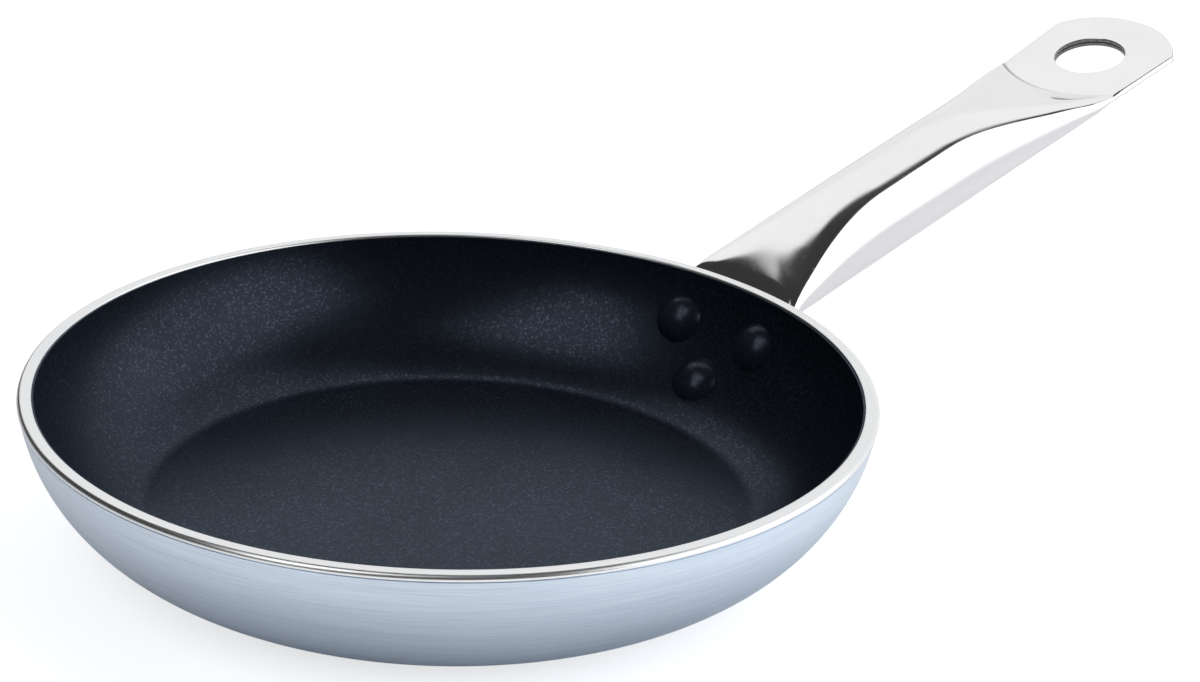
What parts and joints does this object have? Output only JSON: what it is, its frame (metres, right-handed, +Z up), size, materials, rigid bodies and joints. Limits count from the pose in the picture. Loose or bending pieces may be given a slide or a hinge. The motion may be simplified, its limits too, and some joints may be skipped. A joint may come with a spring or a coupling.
{
  "type": "frying pan",
  "caption": "Round aluminium frying pan with curved walls, a dark non-stick inside and a riveted polished tube handle that flattens into a plate with a hanging hole",
  "frame": {"origin": "the centre of the flat underside, on the surface that the pan stands on", "axes": "+Z up along the pan's axis, +X along the handle, +Y to the left of someone who looks along the handle from the pan"},
  "size_m": [0.3658, 0.2, 0.0735],
  "materials": {
    "brushed_aluminium": "brushed",
    "nonstick": "satin",
    "polished_steel": "polished",
    "coated_rivet": "satin"
  },
  "bodies": {
    "root": {"pan_body": "brushed_aluminium", "nonstick_coating": "nonstick", "handle_tube": "polished_steel", "rivet_upper_left": "coated_rivet", "rivet_upper_right": "coated_rivet", "rivet_lower": "coated_rivet"}
  },
  "joints": []
}
